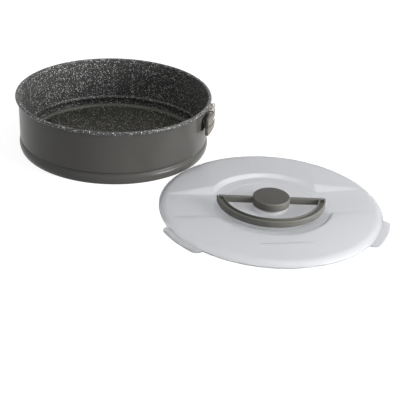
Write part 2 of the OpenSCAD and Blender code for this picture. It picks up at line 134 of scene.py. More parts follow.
def filletLoop(corners, steps=5):
    # A closed outline; each corner is (x, y, radius) and becomes an arc
    loop = []
    for i, (x, y, radius) in enumerate(corners):
        here = Vector((x, y))
        back = (Vector(corners[i - 1][:2]) - here).normalized()
        ahead = (Vector(corners[(i + 1) % len(corners)][:2]) - here).normalized()
        if radius == 0:
            loop.append(here)
            continue
        half = back.angle(ahead) / 2
        centre = here + (back + ahead).normalized() * radius / math.sin(half)
        first = here + back * radius / math.tan(half) - centre
        last = here + ahead * radius / math.tan(half) - centre
        sweep = math.atan2(first.x * last.y - first.y * last.x, first.dot(last))
        for k in range(steps + 1):
            turn = sweep * k / steps
            loop.append(centre + Vector((first.x * math.cos(turn) - first.y * math.sin(turn),
                                         first.x * math.sin(turn) + first.y * math.cos(turn))))
    return loop


def latheMesh(outline, steps):
    # Turns an outline of (radius, z), from the axis round and back to the axis, into a closed shell
    angles = np.linspace(0, 2 * math.pi, steps, endpoint=False)
    verts, faces, rings = [], [], []
    for radius, z in outline:
        if radius < tiny:
            rings.append([len(verts)])
            verts.append((0, 0, z))
        else:
            rings.append(list(range(len(verts), len(verts) + steps)))
            verts += [(radius * math.cos(a), radius * math.sin(a), z) for a in angles]
    for lower, upper in zip(rings, rings[1:]):
        for k in range(steps):
            n = (k + 1) % steps
            if len(lower) == 1:
                faces.append((lower[0], upper[k], upper[n]))
            elif len(upper) == 1:
                faces.append((lower[k], upper[0], lower[n]))
            else:
                faces.append((lower[k], upper[k], upper[n], lower[n]))
    return verts, faces


def prismAlongX(section, x0, x1):
    # A closed bar; its section is a loop of (y, z)
    count = len(section)
    verts = [(x, y, z) for x in (x0, x1) for y, z in section]
    faces = [(k, (k + 1) % count, (k + 1) % count + count, k + count) for k in range(count)]
    faces += [tuple(range(count))[::-1], tuple(range(count, 2 * count))]
    return verts, faces


def softened(profile, step, soft):
    # A profile that is sampled every step, its folds rounded by a bell curve
    reach = np.arange(-3 * soft, 3 * soft + step / 2, step)
    weight = np.exp(-(reach / soft) ** 2 * 2)
    padded = np.pad(profile, len(reach) // 2, mode="edge")
    return np.convolve(padded, weight / weight.sum(), mode="valid")[:len(profile)]


def newTree(name, inputs):
    tree = bpy.data.node_groups.new(name, "GeometryNodeTree")
    tree.interface.new_socket("Geometry", in_out="INPUT", socket_type="NodeSocketGeometry")
    tree.interface.new_socket("Geometry", in_out="OUTPUT", socket_type="NodeSocketGeometry")
    for socketName, kind in inputs:
        tree.interface.new_socket(socketName, in_out="INPUT", socket_type="NodeSocket" + kind)
    return tree


# Materials: one function each, from the finish of the real surface. In a look, roughSpread is how far the
# roughness goes down and up, relief is the height of the bump in mm and reliefPart its strength.

def startMaterial(name, colour, metallic, look):
    material = bpy.data.materials.new(name)
    material.use_nodes = True
    tree = material.node_tree
    shader = tree.nodes["Principled BSDF"]
    setInputs(shader, {"Base Color": linearColour(colour), "Metallic": metallic, "Roughness": look["roughness"]})
    setInputs(shader, {socket: look[key] for key, socket in (("ior", "IOR"), ("gloss", "Specular IOR Level"))
                       if key in look})
    material.diffuse_color = linearColour(colour)
    place = addNode(tree, "ShaderNodeTexCoord")
    return material, tree, shader, place.outputs["Object"]


def roughRange(look):
    down, up = look["roughSpread"]
    return {3: look["roughness"] + down, 4: look["roughness"] + up}


def reliefOf(look):
    return {"Distance": look["relief"] * mm, "Strength": look["reliefPart"]}


def addGrain(tree, shader, place, look, detail=2.0):
    # Fine grain that varies the roughness and raises a low bump
    grain = addNode(tree, "ShaderNodeTexNoise", {"Scale": 1 / (look["grain"] * mm), "Detail": detail},
                    {"Vector": place})
    rough = addNode(tree, "ShaderNodeMapRange", roughRange(look), {0: grain})
    bump = addNode(tree, "ShaderNodeBump", reliefOf(look), {"Height": grain})
    linkInputs(tree, shader, {"Roughness": rough, "Normal": bump})


def addClouds(tree, shader, place, look, colour, other=None, detail=2.0):
    # Large faint clouds of another colour or, without one, of a darker tone
    clouds = addNode(tree, "ShaderNodeTexNoise", {"Scale": 1 / (look["cloud"] * mm), "Detail": detail},
                     {"Vector": place})
    if other:
        mixed = addNode(tree, "ShaderNodeMix", {6: linearColour(colour), 7: linearColour(other)},
                        {0: clouds}, data_type="RGBA")
    else:
        tone = addNode(tree, "ShaderNodeMapRange", {3: look["cloudTone"], 4: 1.0}, {0: clouds})
        mixed = addNode(tree, "ShaderNodeMix", {0: 1.0, 6: linearColour(colour)}, {7: tone},
                        data_type="RGBA", blend_type="MULTIPLY")
    linkInputs(tree, shader, {"Base Color": mixed.outputs[2]})


satinCoatLook = {
    "flake": 0.05,    # share of metal flake in the film
    "gloss": 0.25,    # level of its clear reflections
    "roughness": 0.3,
    "roughSpread": (-0.04, 0.05),
    "grain": 1.1,     # peel of the sprayed film, mm
    "relief": 0.006,
    "reliefPart": 1.0,
    "cloud": 22,      # size of the faint cloudy patches, mm
}


def satinCoat(name, colour, patchColour):
    # Sprayed non-stick coat with metal flake, outside: satin grey, fine film grain, long soft highlights
    look = satinCoatLook
    material, tree, shader, place = startMaterial(name, colour, look["flake"], look)
    addClouds(tree, shader, place, look, colour, patchColour, 3.0)
    addGrain(tree, shader, place, look)
    return material


stoneCoatLook = {
    "specks": "#f0efec",
    "ior": 1.45,
    "gloss": 0.35,       # level of its reflections
    "roughness": 0.38,
    "relief": 0.03,
    "reliefPart": 0.6,
    "wander": 0.9,       # size of the noise that bends the specks' edges, mm
    "ragged": 0.15,      # how far it bends them, mm
    "edge": 9.0,         # how crisp a speck's edge is
    # cell is in mm, size is a share of it; the powers make large and bright specks rare
    "fine": {"cell": 1.35, "size": 0.55, "fewLarge": 0.7, "fewBright": 2.0},
    "coarse": {"cell": 2.7, "size": 0.3, "fewLarge": 1.6, "fewBright": 0.8},
}


def stoneCoat(name, ground, contrast):
    # Non-stick coat sprayed with pale mineral flecks: near-black satin ground and ragged grey-white specks
    look = stoneCoatLook
    material, tree, shader, place = startMaterial(name, ground, 0.0, look)
    wander = addNode(tree, "ShaderNodeTexNoise", {"Scale": 1 / (look["wander"] * mm), "Detail": 1.0},
                     {"Vector": place})
    centred = addNode(tree, "ShaderNodeVectorMath", {1: (0.5, 0.5, 0.5)}, {0: wander.outputs[1]},
                      operation="SUBTRACT")
    shifted = addNode(tree, "ShaderNodeVectorMath", {1: (look["ragged"] * mm,) * 3},
                      {0: centred, 2: place}, operation="MULTIPLY_ADD")
    masks = []
    for layer in (look["fine"], look["coarse"]):
        cells = addNode(tree, "ShaderNodeTexVoronoi", {"Scale": 1 / (layer["cell"] * mm)}, {"Vector": shifted})
        chance = addNode(tree, "ShaderNodeSeparateColor", links={0: cells.outputs["Color"]})
        rare = addNode(tree, "ShaderNodeMath", {1: layer["fewLarge"]}, {0: chance}, operation="POWER")
        radius = addNode(tree, "ShaderNodeMath", {1: layer["size"]}, {0: rare}, operation="MULTIPLY")
        inside = addNode(tree, "ShaderNodeMath", links={0: radius, 1: cells.outputs["Distance"]},
                         operation="SUBTRACT")
        edge = addNode(tree, "ShaderNodeMath", {1: look["edge"]}, {0: inside}, operation="MULTIPLY", use_clamp=True)
        pale = addNode(tree, "ShaderNodeMath", {1: layer["fewBright"]}, {0: chance.outputs[1]}, operation="POWER")
        shade = addNode(tree, "ShaderNodeMath", {1: contrast}, {0: pale}, operation="MULTIPLY")
        masks.append(addNode(tree, "ShaderNodeMath", links={0: edge, 1: shade}, operation="MULTIPLY"))
    specks = addNode(tree, "ShaderNodeMath", links={0: masks[0], 1: masks[1]}, operation="MAXIMUM")
    colour = addNode(tree, "ShaderNodeMix", {6: linearColour(ground), 7: linearColour(look["specks"])},
                     {0: specks}, data_type="RGBA")
    bump = addNode(tree, "ShaderNodeBump", reliefOf(look), {"Height": specks})
    linkInputs(tree, shader, {"Base Color": colour.outputs[2], "Normal": bump})
    return material


nickelPlateLook = {
    "roughSpread": (-0.07, 0.12),
    "across": 12.0,     # how much finer the rolling streaks are across than along
    "cloud": 9,         # size of the faint clouds, mm
    "cloudTone": 0.86,  # tone of the darkest
}


def nickelPlate(name, colour, roughness, streak):
    # Stamped sheet steel with a nickel plate: warm silver, soft reflections, faint rolling streaks (size in mm)
    look = {"roughness": roughness, **nickelPlateLook}
    material, tree, shader, place = startMaterial(name, colour, 1.0, look)
    stretch = addNode(tree, "ShaderNodeMapping", {"Scale": (1.0, 1.0, look["across"])}, {"Vector": place})
    streaks = addNode(tree, "ShaderNodeTexNoise", {"Scale": 1 / (streak * mm), "Detail": 3.0}, {"Vector": stretch})
    rough = addNode(tree, "ShaderNodeMapRange", roughRange(look), {0: streaks})
    linkInputs(tree, shader, {"Roughness": rough})
    addClouds(tree, shader, place, look, colour)
    return material


frostedLidLook = {
    "colour": "#e0e1e4",
    "ior": 1.49,
    "roughness": 0.46,
    "roughSpread": (-0.05, 0.06),
    "grain": 0.7,        # texture of the spark-eroded mould, mm
    "relief": 0.01,
    "reliefPart": 0.6,
    "cloud": 60,         # size of the faint flow clouds, mm
    "cloudTone": 0.975,  # tone of the darkest
    "milk": 0.9,         # share of light that scatters inside
    "reach": 12,         # how far it scatters, mm
    "clear": 0.75,       # share of light that passes through the wall
}


def frostedLid():
    # Moulded natural polypropylene: milky and satin, light passes through it and scatters inside
    look = frostedLidLook
    material, tree, shader, place = startMaterial("frostedPolypropylene", look["colour"], 0.0, look)
    setInputs(shader, {"Subsurface Weight": look["milk"], "Subsurface Radius": (1.0, 1.0, 1.0),
                       "Subsurface Scale": look["reach"] * mm, "Transmission Weight": look["clear"]})
    addClouds(tree, shader, place, look, look["colour"])
    addGrain(tree, shader, place, look)
    return material


handlePlasticLook = {
    "ior": 1.49,
    "gloss": 0.4,    # level of its reflections
    "roughness": 0.5,
    "roughSpread": (-0.05, 0.07),
    "grain": 0.6,    # mould texture, mm
    "relief": 0.02,
    "reliefPart": 0.7,
    "cloud": 14,     # size of the faint clouds, mm
}


def handlePlastic(name, dark, pale):
    # Moulded grey polypropylene with a fine even mould texture: satin, dark, slightly warm
    look = handlePlasticLook
    material, tree, shader, place = startMaterial(name, dark, 0.0, look)
    addClouds(tree, shader, place, look, dark, pale)
    addGrain(tree, shader, place, look, 1.0)
    return material


coatOutside = satinCoat("satinCoat", "#464543", "#4b4a47")
# The tongue's coat is the band's satin coat darkened to near black: painted shade
tongueShadeCoat = satinCoat("satinCoatTongueShade", "#232221", "#282725")
bandStone = stoneCoat("stoneCoatBand", "#3d3d3d", 1.35)
plateStone = stoneCoat("stoneCoatPlate", "#24241d", 0.95)
# The plate's edge ring: fewer flecks, and a lighter ground that is a painted highlight on its slope
plateEdgeHighlight = stoneCoat("stoneCoatPlateEdgeHighlight", "#565650", 0.25)
# One nickel-plated steel in two tones: the lever and link darker as painted shade, the brackets and pins lighter as
# painted highlight
leverSteelShaded = nickelPlate("nickelPlatedSteelShaded", "#7f7972", 0.36, 2.5)
bracketSteelLit = nickelPlate("bracketSteelLit", "#c4bfb8", 0.36, 2.0)
screwSteel = nickelPlate("zincPlatedSteel", "#b8babc", 0.3, 1.5)
lidPlastic = frostedLid()
gripPlastic = handlePlastic("satinHandlePlastic", "#585752", "#5d5c57")
# The hub's top in a darker tone of the same plastic: painted shade that offsets the light its flat top reflects
hubTopShade = handlePlastic("hubTopPaintedShade", "#33322f", "#383733")
print("materials made")


# Camera and light

cameraFacts = {
    "place": (126.17, -1162.09, 555.48),  # mm
    "pitch": 28.95,                       # degrees below the horizon
    "roll": 3.13,
    "lens": 81.41,
    "sensor": 36,
    "far": 50,                            # metres
}


def makeCamera():
    facts = cameraFacts
    pitch, roll = math.radians(facts["pitch"]), math.radians(facts["roll"])
    right = Vector((math.cos(roll), math.sin(pitch) * math.sin(roll), math.cos(pitch) * math.sin(roll)))
    back = Vector((0, -math.cos(pitch), math.sin(pitch)))
    up = back.cross(right)
    data = bpy.data.cameras.new("photoCamera")
    data.lens = facts["lens"]
    data.sensor_width = facts["sensor"]
    data.clip_end = facts["far"]
    camera = newObject("photoCamera", data)
    turn = Matrix((right, up, back)).transposed().to_4x4()
    camera.matrix_world = Matrix.Translation(Vector(facts["place"]) * mm) @ turn
    bpy.context.scene.camera = camera


lampAim = (0.1, -0.08, 0.03)   # between the tin and the lid, metres
lamps = {
    "keyRight": {"place": (0.93, -0.45, 0.25), "size": 0.36, "watts": 11},
    "highRight": {"place": (0.95, -0.3, 1.5), "size": 0.6, "watts": 7},
}


def makeLamps():
    for name, facts in lamps.items():
        data = bpy.data.lights.new(name, "AREA")
        data.shape = "DISK"
        data.size = facts["size"]
        data.energy = facts["watts"]
        lamp = newObject(name, data)
        place = Vector(facts["place"])
        turn = (place - Vector(lampAim)).to_track_quat("Z", "Y").to_matrix().to_4x4()
        lamp.matrix_world = Matrix.Translation(place) @ turn


studio = {
    "ambient": 0.57,       # light from all round, as a share of white
    "floorColour": "#ffffff",
    "floorGlow": 0.84,     # what the floor gives the camera by itself
    "floorShade": 0.35,    # what it adds where light falls on it
    "floorBounce": 0.35,   # share of light that it throws back on the object
    "floorSize": 6,        # metres
    "floorDrop": 0.05,     # from the object's feet down to the floor, mm
}


def seenRays(tree):
    # 1 for camera, glossy and transmission rays, 0 for the rays that light things
    rays = addNode(tree, "ShaderNodeLightPath")
    either = addNode(tree, "ShaderNodeMath", links={0: rays.outputs["Is Camera Ray"], 1: rays.outputs["Is Glossy Ray"]},
                     operation="MAXIMUM")
    return addNode(tree, "ShaderNodeMath", links={0: either, 1: rays.outputs["Is Transmission Ray"]},
                   operation="MAXIMUM")


def makeStudio():
    facts = studio
    world = bpy.data.worlds.new("whiteStudio")
    bpy.context.scene.world = world
    world.use_nodes = True
    tree = world.node_tree
    tree.nodes.clear()
    level = addNode(tree, "ShaderNodeMapRange", {3: facts["ambient"], 4: 1.0}, {0: seenRays(tree)})
    light = addNode(tree, "ShaderNodeBackground", {"Color": (1, 1, 1, 1)}, {"Strength": level})
    addNode(tree, "ShaderNodeOutputWorld", links={"Surface": light})

    half = facts["floorSize"] / 2
    floor = newPiece("studioFloor", [(-half, -half, 0), (half, -half, 0), (half, half, 0), (-half, half, 0)],
                     [(0, 1, 2, 3)])
    floor.location.z = -facts["floorDrop"] * mm
    material = bpy.data.materials.new("whiteFloor")
    material.use_nodes = True
    tree = material.node_tree
    tree.nodes.clear()
    glow = addNode(tree, "ShaderNodeEmission", {"Color": linearColour(facts["floorColour"]),
                                                "Strength": facts["floorGlow"]})
    shade = addNode(tree, "ShaderNodeBsdfDiffuse", {"Color": (facts["floorShade"],) * 3 + (1,)})
    seen = addNode(tree, "ShaderNodeAddShader", links={0: glow, 1: shade})
    plain = addNode(tree, "ShaderNodeBsdfDiffuse", {"Color": (facts["floorBounce"],) * 3 + (1,)})
    mixed = addNode(tree, "ShaderNodeMixShader", links={0: seenRays(tree), 1: plain, 2: seen})
    addNode(tree, "ShaderNodeOutputMaterial", links={"Surface": mixed})
    floor.data.materials.append(material)


makeCamera()
makeLamps()
makeStudio()
bpy.context.scene.view_settings.view_transform = "Standard"
print("camera, lamps and floor placed")


# Sweep tree: a section carried along an arc, with its ends scaled down to round them

def sweepTree():
    tree = newTree("sectionAlongArc", [
        ("Path Radius", "Float"), ("Start Angle", "Float"), ("Sweep Angle", "Float"), ("Steps", "Int"),
        ("End Round", "Float"), ("End Inset", "Float"), ("Finish", "Material"), ("Inner Finish", "Material"),
        ("Rim Height", "Float")])
    given = addNode(tree, "NodeGroupInput").outputs
    arc = addNode(tree, "GeometryNodeCurveArc", mode="RADIUS",
                  links={"Resolution": given["Steps"], "Radius": given["Path Radius"],
                         "Start Angle": given["Start Angle"], "Sweep Angle": given["Sweep Angle"]})
    upright = addNode(tree, "GeometryNodeSetCurveNormal", links={"Curve": arc}, mode="Z_UP")
    section = addNode(tree, "GeometryNodeMeshToCurve", links={0: given["Geometry"]})
    # The section's scale is 1 along the arc, and falls on a quarter circle over End Round at each end
    along = addNode(tree, "GeometryNodeSplineParameter")
    whole = addNode(tree, "GeometryNodeSplineLength")
    left = addNode(tree, "ShaderNodeMath", links={0: whole, 1: along.outputs["Length"]}, operation="SUBTRACT")
    nearest = addNode(tree, "ShaderNodeMath", links={0: left, 1: along.outputs["Length"]}, operation="MINIMUM")
    share = addNode(tree, "ShaderNodeMath", links={0: nearest, 1: given["End Round"]},
                    operation="DIVIDE", use_clamp=True)
    rest = addNode(tree, "ShaderNodeMath", {0: 1.0}, {1: share}, operation="SUBTRACT")
    square = addNode(tree, "ShaderNodeMath", links={0: rest, 1: rest}, operation="MULTIPLY")
    under = addNode(tree, "ShaderNodeMath", {0: 1.0}, {1: square}, operation="SUBTRACT", use_clamp=True)
    root = addNode(tree, "ShaderNodeMath", links={0: under}, operation="SQRT")
    lack = addNode(tree, "ShaderNodeMath", {0: 1.0}, {1: root}, operation="SUBTRACT")
    inset = addNode(tree, "ShaderNodeMath", links={0: lack, 1: given["End Inset"]}, operation="MULTIPLY")
    scale = addNode(tree, "ShaderNodeMath", {0: 1.0}, {1: inset}, operation="SUBTRACT")
    swept = addNode(tree, "GeometryNodeCurveToMesh", {"Fill Caps": True},
                    {"Curve": upright, "Profile Curve": section, "Scale": scale})
    real = addNode(tree, "GeometryNodeRealizeInstances", links={0: swept})
    outer = addNode(tree, "GeometryNodeSetMaterial", links={"Geometry": real, "Material": given["Finish"]})
    # The inner side, whose normals point away from the axis here, and all above Rim Height get the inner finish
    where = addNode(tree, "GeometryNodeInputPosition")
    spot = addNode(tree, "ShaderNodeSeparateXYZ", links={0: where})
    flat = addNode(tree, "ShaderNodeVectorMath", {1: (1, 1, 0)}, {0: where}, operation="MULTIPLY")
    facing = addNode(tree, "ShaderNodeVectorMath", operation="DOT_PRODUCT",
                     links={0: addNode(tree, "GeometryNodeInputNormal"), 1: flat})
    within = addNode(tree, "FunctionNodeCompare", {"B": 0.0}, {"A": facing.outputs["Value"]},
                     data_type="FLOAT", operation="GREATER_THAN")
    high = addNode(tree, "FunctionNodeCompare", links={0: spot.outputs[2], 1: given["Rim Height"]},
                   data_type="FLOAT", operation="GREATER_THAN")
    inner = addNode(tree, "FunctionNodeBooleanMath", links={0: within, 1: high}, operation="OR")
    finish = addNode(tree, "GeometryNodeSetMaterial",
                     links={"Geometry": outer, "Selection": inner, "Material": given["Inner Finish"]})
    addNode(tree, "NodeGroupOutput", links={0: finish})
    return tree


arcSweep = sweepTree()


def sweptPiece(name, section, values):
    # The section is a closed loop of (out, up); the tree lays its X outwards and its Y downwards
    count = len(section)
    piece = newPiece(name, [(out, -up, 0) for out, up in section], edges=[(i, (i + 1) % count) for i in range(count)])
    runTree(piece, arcSweep, values)
    faceOutwards(piece)
    smoothShade(piece, 50)
    return piece


# Side band: sheet steel rolled at the rim and the foot, with a pressed groove and a bead

sideBand = {
    "insideR": 130,
    "sheet": 0.6,
    "height": 75.5,
    "rimD": 4.8,
    "grooveZ": 14,
    "grooveDepth": 1.9,
    "grooveArc": 2.5,
    "beadOut": 1.2,
    "footD": 3,
    "slit": 0.5,         # opening where a rolled edge ends
    "soft": 1.0,         # rounding of the folds, mm
    "endGap": 0.6,       # between the band's ends, behind the latch
    "splitAhead": 7,     # from the lever's pivot to the band's ends, mm
    "rimOpen": 0.25,     # how much earlier the rim's roll ends, radians
    "edgeFrom": 0.4,     # the rim has the inner finish from this far above its roll's foot, mm
    "sample": 0.05,      # spacing at which the wall is worked out, mm
    "closeRows": 0.45,   # spacing of the rows kept at the bead and the groove, mm
    "closeAbove": 2,     # how far these go on above the groove, mm
    "wideRows": 8,       # spacing above that, mm
    "footSteps": 14,
    "rimSteps": 30,
    "steps": 420,
}


def bandWall(facts):
    # Radius of the sheet's middle line at each height, with its folds softened
    middle = facts["insideR"] + facts["sheet"] / 2
    arc, depth = facts["grooveArc"], facts["grooveDepth"]
    half = math.sqrt(arc ** 2 - (arc - depth) ** 2)
    footZ, beadTop = facts["footD"] / 2, facts["grooveZ"] - half
    beadHalf = (beadTop - footZ) / 2
    beadArc = (beadHalf ** 2 + facts["beadOut"] ** 2) / (2 * facts["beadOut"])
    step = facts["sample"]
    z = np.arange(footZ, facts["height"] - facts["rimD"] / 2 + step / 2, step)
    groove = np.sqrt(np.maximum(arc ** 2 - (z - facts["grooveZ"]) ** 2, 0)) - (arc - depth)
    bead = np.sqrt(np.maximum(beadArc ** 2 - (z - footZ - beadHalf) ** 2, 0)) - (beadArc - facts["beadOut"])
    radius = middle - np.maximum(groove, 0) + np.where(z < beadTop, np.maximum(bead, 0), 0)
    soft = softened(radius, step, facts["soft"])
    closeTop = beadTop + 2 * half + facts["closeAbove"]
    keep = [0]
    for i in range(1, len(z)):
        spacing = facts["closeRows"] if z[i] < closeTop else facts["wideRows"]
        if z[i] - z[keep[-1]] >= spacing or i == len(z) - 1:
            keep.append(i)
    return [(soft[i], z[i]) for i in keep]


def bandSection(facts):
    # Middle line from the end of the foot's roll, up the wall and round the rim's roll; then both faces
    sheet, inside = facts["sheet"], facts["insideR"]
    wall = bandWall(facts)
    footR, rimR = (facts["footD"] - sheet) / 2, (facts["rimD"] - sheet) / 2
    footGap = math.asin((facts["slit"] + sheet) / footR / 2) * 2
    rimGap = math.asin((facts["slit"] + sheet / 2) / rimR)
    line = []
    for k in range(facts["footSteps"] + 1):
        a = math.pi - footGap + (math.pi + footGap) * k / facts["footSteps"]
        line.append((wall[0][0] - footR + footR * math.cos(a), wall[0][1] + footR * math.sin(a)))
    line += wall[1:-1]
    for k in range(facts["rimSteps"] + 1):
        a = math.pi - (2 * math.pi - rimGap - facts["rimOpen"]) * k / facts["rimSteps"]
        line.append((wall[-1][0] + rimR + rimR * math.cos(a), wall[-1][1] + rimR * math.sin(a)))
    outer, inner = [], []
    for i, (r, z) in enumerate(line):
        before, after = line[max(i - 1, 0)], line[min(i + 1, len(line) - 1)]
        along = Vector((after[0] - before[0], after[1] - before[1])).normalized()
        outer.append((r + along.y * sheet / 2, z - along.x * sheet / 2))
        inner.append((r - along.y * sheet / 2, z + along.x * sheet / 2))
    return [((r - inside) * mm, z * mm) for r, z in outer + inner[::-1]]


leverPivot = Vector(joints["lever_swing"]["pos_m"])
latchAngle = math.atan2(leverPivot.y, leverPivot.x)


def makeBand():
    facts = sideBand
    outR = facts["insideR"] + facts["sheet"]
    split = latchAngle + facts["splitAhead"] / outR
    gap = facts["endGap"] / outR
    band = sweptPiece("sideBand", bandSection(facts), {
        "Path Radius": facts["insideR"] * mm, "Start Angle": split + gap / 2, "Sweep Angle": 2 * math.pi - gap,
        "Steps": facts["steps"], "End Round": tiny, "End Inset": 0.0,
        "Finish": coatOutside, "Inner Finish": bandStone,
        "Rim Height": (facts["height"] - facts["rimD"] + facts["edgeFrom"]) * mm})
    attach(band, "tin_and_lid")
    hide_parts("side_band")


makeBand()
print("side band swept")


# Base plate: a pressed disc whose flange rests on the band's rolled foot

basePlate = {
    "sheet": 0.8,
    "floorR": 124.8,
    "stepW": 1.6,
    "flangeZ": 3.25,
    "flangeR": 130.0,
    "fold": 0.9,         # radius of the folds, mm
    "edgeRound": 0.45,   # the edge outside the floor's flecks: fewer flecks, and a lighter ground that is a painted highlight
    "highlightRingFrom": 124.4,   # the smooth edge outside the floor's flecks
    "downFrom": -0.1,    # faces whose normals point further down have the underside's finish
    "midR": 60,          # a ring of points that keeps the floor's faces short
    "steps": 256,
}


def makeBasePlate():
    facts = basePlate
    sheet, fold, floorR, stepW = facts["sheet"], facts["fold"], facts["floorR"], facts["stepW"]
    flangeZ, flangeR, midR = facts["flangeZ"], facts["flangeR"], facts["midR"]
    edgeR = sheet * facts["edgeRound"]
    under = [(0, 0, 0), (midR, 0, 0), (floorR, 0, fold + sheet), (floorR + stepW, flangeZ, fold)]
    edge = [(flangeR, flangeZ, edgeR), (flangeR, flangeZ + sheet, edgeR)]
    over = [(floorR + stepW - sheet / 2, flangeZ + sheet, fold + sheet), (floorR - sheet / 2, sheet, fold),
            (midR, sheet, 0), (0, sheet, 0)]
    outline = [(p.x * mm, p.y * mm) for p in filletLoop(under + edge + over)]
    plate = closedPiece("basePlate", *latheMesh(outline, facts["steps"]))
    smoothShade(plate, 50)
    dress(plate, plateStone, plateEdgeHighlight, coatOutside)
    # Downward faces get the outside coat; the edge ring gets the painted highlight
    for face in plate.data.polygons:
        if face.normal.z < facts["downFrom"]:
            face.material_index = 2
        elif face.center.xy.length > facts["highlightRingFrom"] * mm:
            face.material_index = 1
    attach(plate, "tin_and_lid")
    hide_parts("base_plate")


makeBasePlate()
print("base plate turned")


# Lid: one moulded wall of even thickness, laid out as rings round the hub's hole

lid = {
    "r": 140.4,
    "height": 8.6,        # round the recess
    "shoulderZ": 6.7,     # what the top falls to at the shoulder
    "wall": 1.6,
    "shoulderW": 11.5,
    "shoulderR": 14,
    "turn": 9.2,          # direction of the channels, degrees
    "ledgeZ": 3.4,
    "floorZ": 2.6,
    "ledgeR": 60.42,      # where the recess's floor ends
    "recessFoot": 73.92,
    "recessSlope": 5,
    "bossZ": 6.6,
    "bossR": 21,
    "bossSlope": 1.5,
    "holeR": 6.08,
    "channelFront": 27,
    "channelBack": 31,
    "frontSlope": 0.5,
    "backSlope": 2.5,
    "channelEnd": 6.5,
    "tabLen": 66,
    "tabOut": 9.5,
    "tabCorner": 8.5,
    "tabTurns": (-31, 211),
    "ribLen": 64,
    "ribW": 1.2,
    "ribH": 0.2,
    "ribOut": 97,         # from the lid's middle, mm
    "ribSteps": 8,
    "soft": 0.9,          # rounding of the moulded edges, mm
    "crease": 0.7,        # depth over which the channels' sides run into the top, mm
    "floorCrease": 0.3,
    "wholeR": 40,         # inside it no channel is cut
    "sample": 0.1,        # spacing at which the round profile is worked out, mm
    "slopeStep": 0.05,    # distance over which a slope is measured, mm
    "steepest": 1.35,     # limit of the extra depth of the wall under a slope
    "tabCloseness": 2.2,  # half of the range with more points at a tab's corner, degrees
    "creases": (8, 32),   # range with more points beside a channel's middle, degrees
    "steepCreases": (9, 24),
}
lidCentre = Vector(joints["hub_spin"]["pos_m"]).xy


def softMin(a, b, k):
    near = np.maximum(k - np.abs(a - b), 0) / k
    return np.minimum(a, b) - near * near * k / 4


def softMax(a, b, k):
    return -softMin(-a, -b, k)


def lidProfile(facts, radius):
    # Height of the round part of the lid's outer face, without the channels
    step = facts["sample"]
    r = np.arange(0, facts["r"] + step, step)
    knots = [(0, "bossZ"), (facts["bossR"], "bossZ"), (facts["bossR"] + facts["bossSlope"], "floorZ"),
             (facts["ledgeR"], "floorZ"), (facts["ledgeR"] + facts["ledgeZ"] - facts["floorZ"], "ledgeZ"),
             (facts["recessFoot"], "ledgeZ"), (facts["recessFoot"] + facts["recessSlope"], "height"),
             (facts["r"] - facts["shoulderW"], "shoulderZ"), (facts["r"], "shoulderZ")]
    height = np.interp(r, [k[0] for k in knots], [facts[k[1]] for k in knots])
    height = softened(height, step, facts["soft"])
    out = np.maximum(r - (facts["r"] - facts["shoulderW"]), 0)
    height -= facts["shoulderR"] - np.sqrt(facts["shoulderR"] ** 2 - np.minimum(out, facts["shoulderW"]) ** 2)
    return np.interp(radius, r, height)


def lidTop(facts, x, y):
    # Height of the outer face at a point of the lid's own frame, channels along X
    radius = np.hypot(x, y)
    height = lidProfile(facts, radius)
    rise = (facts["shoulderZ"] - facts["ledgeZ"]) / (facts["r"] - facts["channelEnd"] - facts["recessFoot"])
    floor = facts["ledgeZ"] + (np.abs(x) - facts["recessFoot"]) * rise
    floor = softMax(floor, np.full_like(floor, facts["ledgeZ"]), facts["floorCrease"])
    front = floor + (-y - facts["channelFront"]) / facts["frontSlope"]
    back = floor + (y - facts["channelBack"]) / facts["backSlope"]
    channel = softMax(softMax(floor, front, facts["crease"]), back, facts["crease"])
    cut = softMin(height, channel, facts["crease"])
    return np.where(radius < facts["wholeR"], height, cut)


def lidAngles(facts):
    # Angles of the rings' points, closer together at the tabs' corners and the channels' creases
    tabHalf = math.degrees(facts["tabLen"] / 2 / facts["r"])
    (near, far), (steepNear, steepFar) = facts["creases"], facts["steepCreases"]
    angles = []
    for degree in range(360):
        centre = degree + 0.5
        atTab = any(abs(abs((centre - turn + 180) % 360 - 180) - tabHalf + 1) < facts["tabCloseness"]
                    for turn in facts["tabTurns"])
        fold = min(centre % 180, 180 - centre % 180)
        steepSide = degree >= 180 and steepNear < fold < steepFar
        parts = 4 if atTab or steepSide else 2 if near < fold < far else 1
        angles += [math.radians(degree + k / parts) for k in range(parts)]
    return np.array(angles)


def tabReach(facts, angles):
    # How far the edge stands out at each angle: two tabs with rounded corners
    out = np.zeros_like(angles)
    corner, tall = facts["tabCorner"], facts["tabOut"]
    for turn in facts["tabTurns"]:
        away = np.abs((angles - math.radians(turn) + math.pi) % (2 * math.pi) - math.pi) * (facts["r"] + tall)
        left = facts["tabLen"] / 2 * (facts["r"] + tall) / facts["r"] - away
        arc = tall - corner + np.sqrt(np.maximum(corner ** 2 - np.clip(corner - left, 0, corner) ** 2, 0))
        out = np.where(left > 0, np.minimum(arc, tall), out)
    return out


